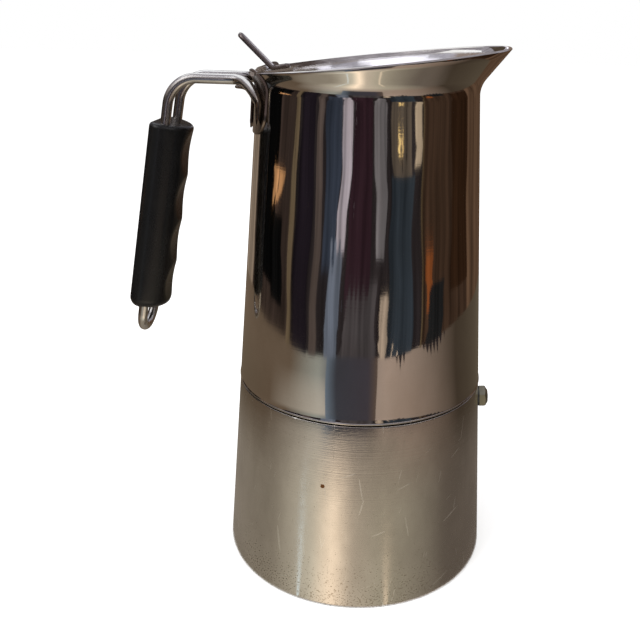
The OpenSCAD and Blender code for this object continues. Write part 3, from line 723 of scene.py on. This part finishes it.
def plastic(name, colour, faded, smooth, rough):
    """Moulded plastic that goes from its own colour and gloss to faded ones where hands wear it."""
    finish, tree = new_finish(name)
    shader = tree.nodes["Principled BSDF"]
    shader.inputs["IOR"].default_value = 1.42
    face = grouped(tree, build_moulded(), Grain=0.06)
    wear = face.outputs["Wear"]
    bump = bumped(tree, face.outputs["Height"], 0.00015)
    wire_nodes(tree, (mixed(tree, wear, colour, faded), shader.inputs["Base Color"]),
               (ranged(tree, wear, 0.3, 0.7, smooth, rough), shader.inputs["Roughness"]),
               (bump.outputs[0], shader.inputs["Normal"]))
    return finish


grip_l = 75
grip_w = 14.7
grip_d = 24
grip_shift = 1.3
grip_drop = 7.6
foot_round = 4
top_round = 1.6
corner_round = 4.5
groove_count = 4
groove_depth = 1.6
groove_soft = 0.7


def smaller(a, b, soft):
    """The smaller of two numbers, rounded over where they cross."""
    h = max(0, soft - abs(a - b)) / soft
    return min(a, b) - h * h * soft / 4


def grip_section(inset):
    """The grip's outline across its length: a round nose towards the pot and two round back corners."""
    nose_r = grip_d / 2
    nose_x = grip_shift + (grip_w - grip_d) / 2
    corner_x = grip_shift + corner_round - grip_w / 2
    reach = nose_r - corner_round
    lift = math.sqrt(reach ** 2 - (corner_x - nose_x) ** 2)
    turn = math.degrees(math.atan2(lift, corner_x - nose_x))
    return (arc(nose_x, 0, nose_r - inset, -turn, turn, 60)
            + arc(corner_x, lift, corner_round - inset, turn, 180, 12)[1:]
            + arc(corner_x, -lift, corner_round - inset, 180, 360 - turn, 12)[:-1])


def grip_levels():
    """Heights down the grip, each with the inset of its rounded ends."""
    levels = [(top_round * (math.sin(a) - 1), top_round * (1 - math.cos(a)))
              for a in (math.pi / 2 * i / 6 for i in range(6, -1, -1))]
    low = foot_round - grip_l
    levels += [(mix(-top_round, low, i / 130), 0) for i in range(1, 130)]
    levels += [(low - foot_round * math.sin(a), foot_round * (1 - math.cos(a)))
               for a in (math.pi / 2 * i / 8 for i in range(9))]
    return levels


def build_grip():
    pitch = (grip_l - top_round - foot_round / 4) / groove_count
    groove_r = ((pitch / 2) ** 2 + groove_depth ** 2) / (2 * groove_depth)
    place = Matrix.Translation((bend_x, 0, wire_z - wire_bend)) @ Matrix.Rotation(lean, 4, "Y")
    place = place @ Matrix.Translation((-wire_bend, 0, -grip_drop))
    points = []
    for z, inset in grip_levels():
        off = (max(0, -z - top_round) / pitch) % 1 - 0.5
        scoop = groove_r - math.sqrt(groove_r ** 2 - (off * pitch) ** 2)
        limit = grip_shift + grip_w / 2 - groove_depth + scoop
        for x, y in grip_section(inset):
            points.append(place @ Vector((smaller(x, limit, groove_soft), y, z)))
    sides = len(grip_section(0))
    rings = len(grip_levels())
    faces = [tuple(reversed(f)) for f in bar_faces(rings, sides)]
    return build_mesh("grip", points, faces, "collector", grip_plastic)


grip_plastic = plastic("grip_plastic", (0.002, 0.002, 0.0022), (0.006, 0.006, 0.006), 0.2, 0.34)
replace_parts(build_grip(), "handle_grip")


# ---- lid -------------------------------------------------------------------
# A shallow pressed dome of steel, sunk under the rim, with a welded leaf that
# wraps the pin. Near the hinge it is darkened brown with painted shade, and coffee has marbled the rest.
def marbled(finish, tone, amount, film):
    """Marbles a metal with the tone of dried drops."""
    tree = finish.node_tree
    veins = math_node(tree, "MULTIPLY_ADD", noise_along(tree, (330, 200, 200), 6.0, 0.7), 4.0, -1.8)
    veins.node.use_clamp = True
    toned(finish, math_node(tree, "MULTIPLY", veins, amount), tone, film)


lid_film = 0.8
lid_steel = mirror("lid_steel", (0.70, 0.69, 0.70), (0.52, 0.50, 0.50), 0.08, 0.18, 0.0007)
marbled(lid_steel, (0.33, 0.32, 0.335), 0.45, lid_film)
# A brown film of painted shade darkens the lid near the hinge.
painted_lid_shade = close_to(lid_steel, (-0.045, 0, 0.198), 0.026, 0.036)
toned(lid_steel, painted_lid_shade, (0.15, 0.12, 0.10), lid_film)
for piece in ("lid", "lid_leaf", "hinge_pin"):
    dress(piece, lid_steel)


# ---- thumb lever -----------------------------------------------------------
# A strip of steel, bent up from a foot that is spot-welded to the lid. Its end
# is round, and its edges are dressed.
lever_w = 5.5
lever_t = 1.7
lever_l = 16.5
lever_lean = 46.5
lever_heel = (-35.12, 199.36)
lever_bend_r = 1.4
lever_foot = (-29.3, 198.97)


def lever_path():
    tilt = math.radians(lever_lean)
    bend = arc(*lever_heel, lever_bend_r, 270, 180 + lever_lean, 8)
    foot_x, foot_z = lever_foot
    foot = [(mix(foot_x, bend[0][0], i / 4), mix(foot_z, bend[0][1], i / 4)) for i in range(4)]
    top_x, top_z = bend[-1]
    steps = [0.05 + i / 8 for i in range(7)] + [0.9, 0.94, 0.965, 0.985, 0.998]
    rise = [(top_x - math.sin(tilt) * lever_l * t, top_z + math.cos(tilt) * lever_l * t) for t in steps]
    return [Vector((x, 0, z)) for x, z in foot + bend + rise]


lever_line = lever_path()


def lever_section(i):
    """Half widths of the lever at point i of its line: a round end, and a slightly smaller start."""
    left = (lever_line[-1] - lever_line[i]).length + 0.03
    round_end = math.sqrt(1 - (1 - min(1, left / (lever_w / 2))) ** 2)
    start = 0.8 if i == 0 else 1
    across = lever_w / 2 * max(round_end, 0.12) * start
    thick = lever_t / 2 * max(0.55, min(1, round_end * 1.6)) * start
    return Vector((0, 1, 0)), across, thick


lever_steel = mirror("lever_steel", (0.27, 0.235, 0.225), (0.17, 0.14, 0.13), 0.16, 0.28, 0.0002)
lever = sweep("lever", lever_line, lever_section, "lid", lever_steel, 32, 0.45)
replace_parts(lever, "lid_lever")


# ---- studio ----------------------------------------------------------------
# A pale floor and white background, with soft lamps from both sides. Plain
# cards stand round the pot, and a tabletop tone lies under it, for the polished
# steel to reflect: nothing but a reflection sees them.
def stage_mesh(name, points, faces, finish):
    """A thing of the studio, from points in metres."""
    mesh = bpy.data.meshes.new(name)
    mesh.from_pydata(points, [], faces)
    mesh.materials.append(finish)
    thing = bpy.data.objects.new(name, mesh)
    scene.collection.objects.link(thing)
    return thing


def for_reflections(thing):
    """Leaves a thing to be seen in reflections only."""
    thing.visible_camera = False
    thing.visible_diffuse = False
    thing.visible_shadow = False
    thing.visible_transmission = False
    return thing


pale_floor, floor_tree = new_finish("pale_floor")
floor_shader = floor_tree.nodes["Principled BSDF"]
floor_shader.inputs["Base Color"].default_value = (0.96, 0.96, 0.96, 1)
floor_shader.inputs["Roughness"].default_value = 0.9
floor_shader.inputs["Specular IOR Level"].default_value = 0.0
stage_mesh("floor", [(-4, -4, 0), (4, -4, 0), (4, 4, 0), (-4, 4, 0)], [(0, 1, 2, 3)], pale_floor)


polished = (0.70, 0.68, 0.65)
satin = (0.58, 0.555, 0.52)


def linear(level):
    """Light for a screen level of 0 to 255."""
    c = level / 255
    return c / 12.92 if c <= 0.04045 else ((c + 0.055) / 1.055) ** 2.4


def shown(tone, steel):
    """The light that a card gives so that it shows in steel of the given colour with this tone."""
    return (*[linear(c) / s for c, s in zip(tone, steel)], 1)


def glow_finish(name):
    """A material with only a glow in it, and the nodes that it is finished with."""
    finish, tree = new_finish(name)
    tree.nodes.clear()
    return finish, tree, tree.nodes.new("ShaderNodeEmission"), tree.nodes.new("ShaderNodeOutputMaterial")


def card_finish(name, tone, streak):
    """A glowing card whose tone, as it shows in polished steel, varies in upright streaks."""
    finish, tree, glow, out = glow_finish(name)
    glow.inputs["Color"].default_value = shown(tone, polished)
    streaks = ranged(tree, noise_along(tree, (26, 26, 3), 4.0, 0.65), 0.3, 0.7, 1 - streak, 1 + streak)
    wire_nodes(tree, (streaks, glow.inputs["Strength"]), (glow.outputs[0], out.inputs["Surface"]))
    return finish


card_ring_r = 0.42


def ring_point(bearing, r):
    """A place at radius r, on a bearing in degrees from the front towards the spout."""
    a = math.radians(bearing - 90)
    return r * math.cos(a), r * math.sin(a)


def card(name, foot, top, low, high, tone, streak=0.55, nearer=0.0):
    """An upright card between two bearings at its foot and two at its top, whose edges waver."""
    across = max(2, int(abs(foot[1] - foot[0]) / 4))
    up = 10
    points = []
    for k in range(up + 1):
        f = k / up
        waver = 0.8 * math.sin(9 * f + foot[0]) + 0.4 * math.sin(23 * f + foot[1])
        start = mix(foot[0], top[0], f) + waver
        end = mix(foot[1], top[1], f) + waver * 0.7
        for i in range(across + 1):
            x, y = ring_point(mix(start, end, i / across), card_ring_r - nearer)
            points.append((x, y, mix(low, high, f)))
    row = across + 1
    faces = [(k * row + i, k * row + i + 1, (k + 1) * row + i + 1, (k + 1) * row + i)
             for k in range(up) for i in range(across)]
    for_reflections(stage_mesh(name, points, faces, card_finish(name, tone, streak)))


# The room: each card's bearings from and to, its heights and its tone.
wall_cards = [
    ("back_wall", -180, -122, 0, 0.215, (115, 100, 85)),
    ("left_wall", -122, -60, 0, 0.26, (50, 40, 35)),
    ("front_wall", -60, 60, 0, 0.26, (35, 30, 30)),
    ("right_wall", 60, 118, 0, 0.26, (55, 40, 30)),
    ("right_back_wall", 118, 180, 0, 0.215, (80, 60, 45)),
    ("high_back_wall", 110, 250, 0.215, 0.40, (140, 135, 140)),
    ("high_front_wall", -110, 110, 0.26, 0.40, (120, 110, 105)),
]
overlap = 3
lap = 0.01
for n, (name, start, end, low, high, tone) in enumerate(wall_cards):
    edges = (start - overlap, end + overlap)
    card(name, edges, edges, low, high + lap, tone, nearer=n * mm)

# What stands in front of it: bearings at foot and top, heights and tone.
hung_cards = [
    ("left_dark", (-121, -88), (-122, -86), 0.03, 0.26, (5, 5, 5)),
    ("left_curtain", (-88, -76), (-86, -76), 0.1, 0.26, (50, 40, 35)),
    ("tan_patch", (-92, -86), (-92, -74), 0.1, 0.13, (185, 135, 90)),
    ("left_post", (-68, -63), (-67, -62.5), 0.0, 0.26, (100, 85, 65)),
    ("left_shadow", (-61, -46), (-60, -47), 0.0, 0.26, (25, 20, 25)),
    ("left_glint", (-53, -52), (-53, -51.5), 0.05, 0.22, (85, 75, 65)),
    ("tan_line", (-44, -37), (-43, -37), 0.0, 0.26, (70, 60, 55)),
    ("navy_cloth", (-34, -22), (-36, -20), 0.07, 0.26, (45, 50, 60)),
    ("blue_cloth", (-30, -17), (-27, -15), 0.0, 0.09, (90, 95, 105)),
    ("pale_left", (-21, -13), (-20, -8), 0.08, 0.26, (160, 150, 155)),
    ("maroon", (-12, 9), (-6, 9), 0.055, 0.26, (40, 25, 30)),
    ("pale_right", (13, 20), (9, 24), 0.075, 0.26, (100, 95, 95)),
    ("slate_cloth", (25, 48), (25, 48), 0.0, 0.155, (40, 45, 50)),
    ("left_low_dark", (-90, -74), (-90, -76), 0.02, 0.095, (10, 10, 10)),
    ("grey_heap", (-14, 17), (-9, 15), 0.0, 0.06, (60, 55, 55)),
    ("pale_heap", (20, 37), (19, 24), 0.0, 0.05, (170, 150, 130)),
    ("slate_points", (31, 44), (27, 46), 0.02, 0.05, (40, 45, 50)),
    ("shelf", (27, 45), (27, 45), 0.155, 0.26, (80, 70, 60)),
    ("shelf_gap", (36, 41), (36, 41), 0.16, 0.25, (35, 30, 30)),
    ("window", (48.5, 55), (48.5, 55), 0.163, 0.204, (170, 150, 125)),
    ("right_post", (56, 57.5), (56.5, 58), 0.0, 0.26, (85, 70, 50)),
    ("right_dark", (92, 117), (90, 118), 0.035, 0.26, (40, 25, 15)),
    ("orange_cloth", (62, 68), (60, 68), 0.032, 0.082, (110, 60, 30)),
    ("brush_bristles", (61, 80), (66, 84), 0.0, 0.05, (25, 25, 25)),
]
for hung_card in hung_cards:
    card(*hung_card, nearer=0.01)
card("wall_lamp", (33, 34.5), (33, 34.5), 0.175, 0.19, (255, 215, 140), 0.2, 0.02)
card("wall_lamp_twin", (36, 37), (36, 37), 0.175, 0.19, (240, 200, 130), 0.2, 0.02)
card("back_window", (176, 185), (175, 184), 0.222, 0.31, (245, 240, 245), 0.3, 0.02)
card("back_dark", (191.5, 226), (189.5, 226), 0.2, 0.34, (70, 60, 50), 0.3, 0.015)
card("back_streak", (190.5, 192.5), (187, 188.5), 0.205, 0.262, (240, 235, 240), 0.2, 0.02)
card("back_tan", (140, 173), (140, 174.5), 0.2, 0.31, (115, 100, 90), 0.3, 0.018)


def level_card(name, x, y, z, tone, streak):
    """A card that lies level at height z and reaches from x[0] to x[1] and from y[0] to y[1]."""
    corners = [(x[0], y[0], z), (x[1], y[0], z), (x[1], y[1], z), (x[0], y[1], z)]
    for_reflections(stage_mesh(name, corners, [(0, 1, 2, 3)], card_finish(name, tone, streak)))


level_card("ceiling", (-0.5, 0.5), (-0.5, 0.5), 0.4, (145, 140, 145), 0.5)
level_card("ceiling_light", (-0.26, -0.03), (0.02, 0.26), 0.395, (250, 250, 250), 0.1)


def along_ramp(bearing):
    """A bearing's place on a ramp that goes all the way round."""
    return (bearing + 180) / 360


def table_finish(name, stops, steel):
    """A tabletop tone that changes with the bearing that each spoke stands for and fades at its edge."""
    finish, tree, glow, out = glow_finish(name)
    ramp = tree.nodes.new("ShaderNodeValToRGB")
    while len(ramp.color_ramp.elements) < len(stops):
        ramp.color_ramp.elements.new(0.5)
    for element, (bearing, tone) in zip(ramp.color_ramp.elements, stops):
        element.position = along_ramp(bearing)
        element.color = shown(tone, steel)
    turned = tree.nodes.new("ShaderNodeAttribute")
    turned.attribute_name = "bearing"
    full = tree.nodes.new("ShaderNodeAttribute")
    full.attribute_name = "full"
    clear = tree.nodes.new("ShaderNodeBsdfTransparent")
    blend = tree.nodes.new("ShaderNodeMixShader")
    wire_nodes(tree, (turned.outputs["Fac"], ramp.inputs["Fac"]),
               (ramp.outputs["Color"], glow.inputs["Color"]), (full.outputs["Fac"], blend.inputs[0]),
               (clear.outputs[0], blend.inputs[1]), (glow.outputs[0], blend.inputs[2]),
               (blend.outputs[0], out.inputs["Surface"]))
    return finish


def table_part(name, start, end, spoke, height, finish):
    """Part of the tabletop. spoke(bearing) gives points outwards, each with how full the tone is."""
    steps = max(4, int(abs(end - start) / 1.5))
    points = []
    values = []
    for i in range(steps + 1):
        b = mix(start, end, i / steps)
        for (x, y), full in spoke(b):
            points.append((x, y, height))
            values.append((along_ramp(b), full))
    row = len(spoke(start))
    faces = [(i * row + k, i * row + k + 1, (i + 1) * row + k + 1, (i + 1) * row + k)
             for i in range(steps) for k in range(row - 1)]
    thing = for_reflections(stage_mesh(name, points, faces, finish))
    for n, label in enumerate(("bearing", "full")):
        layer = thing.data.attributes.new(label, "FLOAT", "POINT")
        for spot, value in zip(layer.data, values):
            spot.value = value[n]


table_start_r = base_r * mm * 1.01
mirror_turn = 2.07
viewer_bearing = 3


def fan(name, start, end, rings, height, tones):
    """A sector round the pot's axis. rings holds its radii outwards, each with how full the tone is."""
    def spoke(b):
        return [(ring_point(b, r), part) for r, part in rings]
    table_part(name, start, end, spoke, height, table_finish(name, tones, polished))


def spokes(name, start, end, length, height, tones):
    """A sector of straight spokes, each of which shows upright in the boiler's wall."""
    rings = ((0, 1), (length * 0.6, 1), (length, 0))

    def spoke(b):
        x, y = ring_point(b, table_start_r)
        dx, dy = ring_point(mirror_turn * b - viewer_bearing, 1)
        return [((x + r * dx, y + r * dy), part) for r, part in rings]
    table_part(name, start, end, spoke, height, table_finish(name, tones, satin))


far_tones = [(-180, (95, 80, 65)), (-60, (95, 80, 65)), (-33, (140, 140, 130)), (-22, (105, 105, 105)),
             (27, (155, 135, 120)), (97, (60, 50, 40)), (180, (90, 80, 65))]
middle_tones = [(-180, (90, 80, 65)), (-80, (90, 75, 60)), (-30, (175, 165, 150)), (-8, (160, 145, 130)),
                (44, (140, 120, 105)), (97, (60, 50, 40)), (180, (90, 80, 65))]
near_tones = [(-95, (100, 90, 80)), (-35, (125, 115, 100)), (-16, (180, 170, 150)), (-6, (245, 220, 190)),
              (2, (175, 160, 140)), (14, (155, 145, 125)), (46, (90, 80, 70))]
shade_tones = [(-25, (95, 105, 115)), (-15, (55, 55, 60)), (11, (60, 55, 60)), (19, (85, 70, 60))]
window_tone = (200, 205, 200)
fan("far_table", -180, 180, ((table_start_r, 1), (card_ring_r, 1), (0.44, 0)), 0.0002, far_tones)
fan("middle_table", -180, 180, ((table_start_r, 1), (0.22, 1), (0.34, 0)), 0.0003, middle_tones)
spokes("near_table", -95, 95, 0.16, 0.0005, near_tones)
spokes("window_streak", -21.1, -20.1, 0.13, 0.0007, [(-21, window_tone), (-20, window_tone)])
spokes("lamp_streak", 16, 17.8, 0.08, 0.0007, [(16, (205, 185, 160)), (18, (200, 180, 150))])
fan("table_shade", -25, 19, ((0.225, 0), (0.25, 1), (card_ring_r, 1)), 0.0008, shade_tones)


bristle_z = 0.001


def bristle(name, bearing, width, length):
    """A dark point that lies on the tabletop and reaches in from the cards."""
    corners = ((bearing - width / 2, card_ring_r), (bearing + width / 2, card_ring_r),
               (bearing + 0.6, card_ring_r - length))
    points = [(*ring_point(b, r), bristle_z) for b, r in corners]
    for_reflections(stage_mesh(name, points, [(0, 1, 2)], card_finish(name, (35, 30, 30), 0.3)))


bristles = [(34, 3, 0.05), (37.5, 4, 0.075), (41, 3, 0.06), (60, 3, 0.04), (63.5, 5, 0.06), (67, 4, 0.075),
            (71, 5, 0.07), (75, 4, 0.08), (79, 4, 0.05), (84, 2, 0.03)]
for bearing, width, length in bristles:
    bristle("bristle_%d" % bearing, bearing, width, length)


def lamp(name, place, size, power):
    """A round soft lamp that looks at the pot's middle."""
    light = bpy.data.lights.new(name, "AREA")
    light.shape = "DISK"
    light.size = size
    light.energy = power
    thing = bpy.data.objects.new(name, light)
    thing.location = place
    aim = Vector((0, 0, 0.1)) - Vector(place)
    thing.rotation_euler = aim.to_track_quat("-Z", "Y").to_euler()
    scene.collection.objects.link(thing)


lamp("key_lamp", (-0.9, -0.8, 1.2), 0.9, 16)
lamp("fill_lamp", (1.1, -0.6, 1.0), 0.9, 9)

world = bpy.data.worlds.new("studio")
scene.world = world
world.use_nodes = True
sky = world.node_tree
ray = sky.nodes.new("ShaderNodeLightPath")
seen = highest(sky, ray.outputs["Is Camera Ray"], ray.outputs["Is Glossy Ray"],
               ray.outputs["Is Transmission Ray"])
strength = math_node(sky, "MULTIPLY_ADD", seen, -0.08, 1.08)
sky.nodes["Background"].inputs["Color"].default_value = (1, 1, 1, 1)
wire_nodes(sky, (strength, sky.nodes["Background"].inputs["Strength"]))
